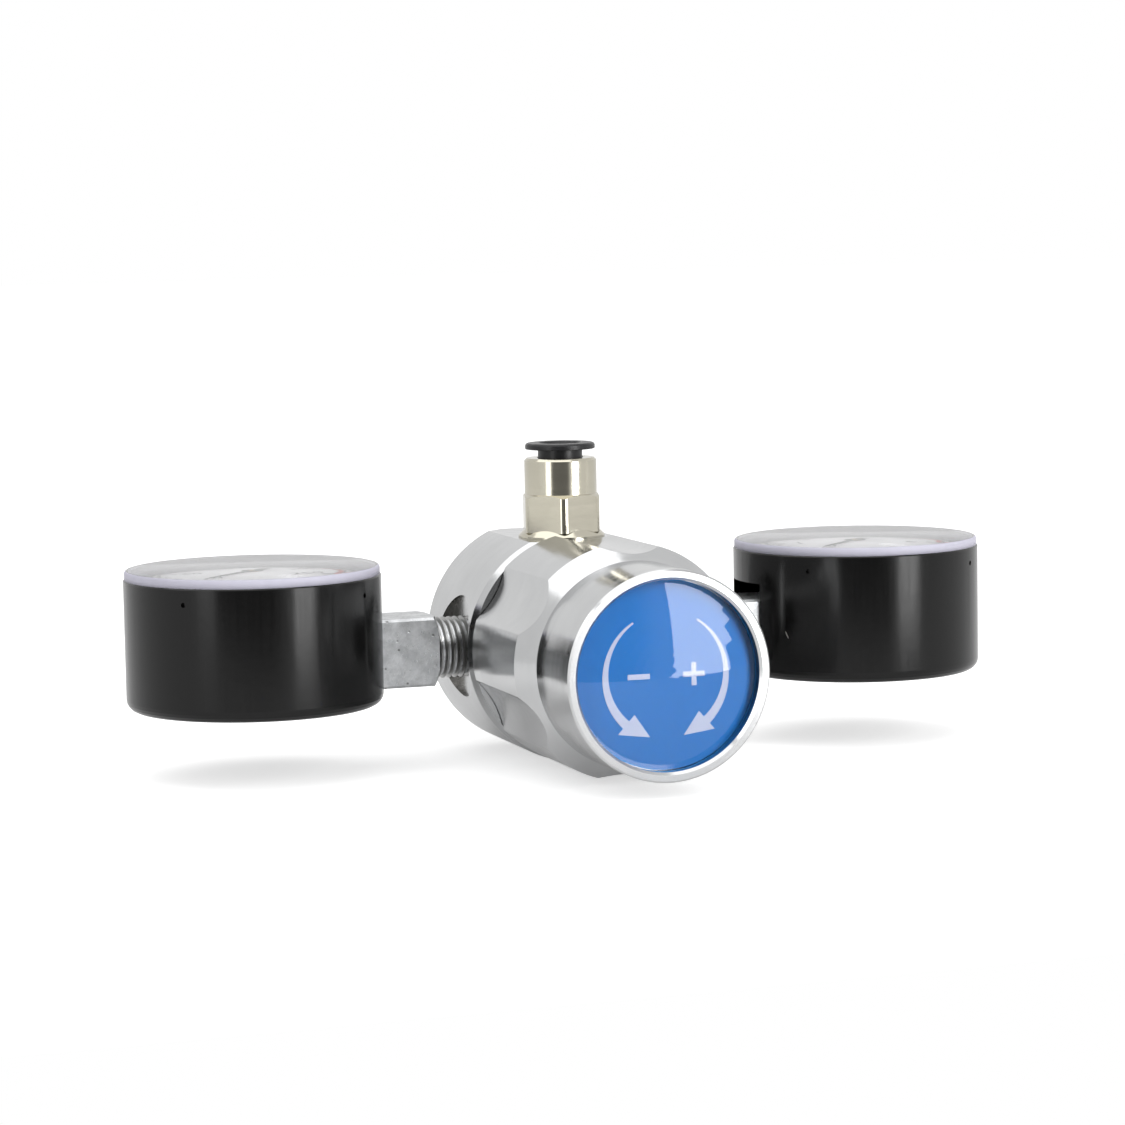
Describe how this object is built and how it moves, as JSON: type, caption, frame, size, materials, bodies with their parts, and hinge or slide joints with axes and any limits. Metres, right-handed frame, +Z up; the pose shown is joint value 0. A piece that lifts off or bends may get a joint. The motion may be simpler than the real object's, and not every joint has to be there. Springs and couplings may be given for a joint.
{
  "type": "carbon dioxide regulator",
  "caption": "Gas pressure regulator with a round body, fluted turning knob, side gauges, push-in tube outlet on top and a threaded inlet at the rear.",
  "frame": {"origin": "mouth of the inlet thread, on the axis of the body and knob", "axes": "+Y out of the rear inlet, +X towards the right gauge, +Z up, towards the gauge faces and the outlet"},
  "size_m": [0.1436, 0.0767, 0.0509],
  "materials": {
    "body_steel": "turned and satin brushed stainless steel",
    "knob_steel": "turned stainless steel, milled flutes, polished bevel",
    "pin_steel": "turned steel",
    "spring_steel": "drawn spring wire",
    "filter_bronze": "sintered bronze",
    "brass": "turned brass",
    "zinc_plate": "bright zinc plate, lightly scuffed",
    "seal_rubber": "nitrile rubber",
    "seat_nylon": "natural nylon",
    "label_blue": "printed vinyl under clear resin",
    "dome_clear": "clear domed resin",
    "nickel_plate": "warm nickel plate on brass",
    "ring_black": "black acetal, slightly glossy",
    "case_black": "gloss black enamel on pressed steel",
    "lens_clear": "clear acrylic",
    "dial_white": "white printed aluminium",
    "movement_brass": "pressed and drawn brass",
    "pointer_black": "black painted aluminium"
  },
  "bodies": {
    "root": {"regulator_body": "body_steel", "inlet_socket": "body_steel", "inlet_seal": "seal_rubber", "piercing_pin": "pin_steel", "inlet_filter": "filter_bronze", "valve_seat": "seat_nylon", "poppet_spring": "spring_steel", "bonnet": "zinc_plate", "range_spring": "spring_steel", "thrust_washer": "brass", "fitting_body": "nickel_plate", "tube_oring": "seal_rubber", "grab_ring": "pin_steel", "left_case": "case_black", "left_lens": "lens_clear", "left_dial": "dial_white", "left_stem": "zinc_plate", "left_bourdon_tube": "movement_brass", "left_movement_frame": "movement_brass", "right_case": "case_black", "right_lens": "lens_clear", "right_dial": "dial_white", "right_stem": "zinc_plate", "right_bourdon_tube": "movement_brass", "right_movement_frame": "movement_brass"},
    "knob": {"knob_shell": "knob_steel", "spindle": "pin_steel", "knob_screw": "zinc_plate", "label_disc": "label_blue", "label_dome": "dome_clear"},
    "carriage": {"spring_carriage": "brass"},
    "piston_group": {"piston": "brass", "piston_oring": "seal_rubber"},
    "poppet_group": {"poppet": "brass"},
    "release_button": {"release_ring": "ring_black"},
    "left_sector": {"left_sector_gear": "movement_brass"},
    "left_needle": {"left_pinion": "movement_brass", "left_pointer": "pointer_black"},
    "left_link_body": {"left_link": "movement_brass"},
    "right_sector": {"right_sector_gear": "movement_brass"},
    "right_needle": {"right_pinion": "movement_brass", "right_pointer": "pointer_black"},
    "right_link_body": {"right_link": "movement_brass"}
  },
  "joints": [
    {"name": "knob_turn", "type": "hinge", "parent": "root", "child": "knob", "pos_m": [0, -0.055, 0], "axis": [0, 1, 0], "range_deg": [0, 2430]},
    {"name": "carriage_slide", "type": "slide", "parent": "root", "child": "carriage", "axis": [0, 1, 0], "range_m": [0, 0.00676], "deforming": ["range_spring"]},
    {"name": "piston_slide", "type": "slide", "parent": "root", "child": "piston_group", "axis": [0, 1, 0], "range_m": [0, 0.0008], "stiffness_N_per_m": 500, "deforming": ["range_spring"]},
    {"name": "poppet_lift", "type": "slide", "parent": "root", "child": "poppet_group", "axis": [0, 1, 0], "range_m": [0, 0.0008], "deforming": ["poppet_spring"]},
    {"name": "release_press", "type": "slide", "parent": "root", "child": "release_button", "axis": [0, 0, -1], "range_m": [0, 0.0012], "stiffness_N_per_m": 100},
    {"name": "left_sector_turn", "type": "hinge", "parent": "root", "child": "left_sector", "pos_m": [-0.06348, -0.03086, 0.007], "axis": [0, 0, 1], "range_deg": [0, 36], "stiffness_Nm_per_rad": 0.0005},
    {"name": "left_pointer_turn", "type": "hinge", "parent": "root", "child": "left_needle", "pos_m": [-0.0515, -0.0265, 0.0103], "axis": [0, 0, -1], "range_deg": [0, 270]},
    {"name": "left_link_turn", "type": "hinge", "parent": "left_sector", "child": "left_link_body", "pos_m": [-0.06663, -0.03031, 0.0075], "axis": [0, 0, 1], "range_deg": [-36, 0]},
    {"name": "right_sector_turn", "type": "hinge", "parent": "root", "child": "right_sector", "pos_m": [0.06348, -0.02214, 0.007], "axis": [0, 0, 1], "range_deg": [0, 36], "stiffness_Nm_per_rad": 0.0005},
    {"name": "right_pointer_turn", "type": "hinge", "parent": "root", "child": "right_needle", "pos_m": [0.0515, -0.0265, 0.0103], "axis": [0, 0, -1], "range_deg": [0, 270]},
    {"name": "right_link_turn", "type": "hinge", "parent": "right_sector", "child": "right_link_body", "pos_m": [0.06663, -0.02269, 0.0075], "axis": [0, 0, 1], "range_deg": [-36, 0]}
  ],
  "couplings": [
    {"joint": "carriage_slide", "follows": "knob_turn", "m_per_rad": 0.00015915},
    {"joint": "poppet_lift", "follows": "piston_slide", "ratio": 1},
    {"joint": "left_pointer_turn", "follows": "left_sector_turn", "ratio": 7.5},
    {"joint": "left_link_turn", "follows": "left_sector_turn", "ratio": -1},
    {"joint": "right_pointer_turn", "follows": "right_sector_turn", "ratio": 7.5},
    {"joint": "right_link_turn", "follows": "right_sector_turn", "ratio": -1}
  ]
}
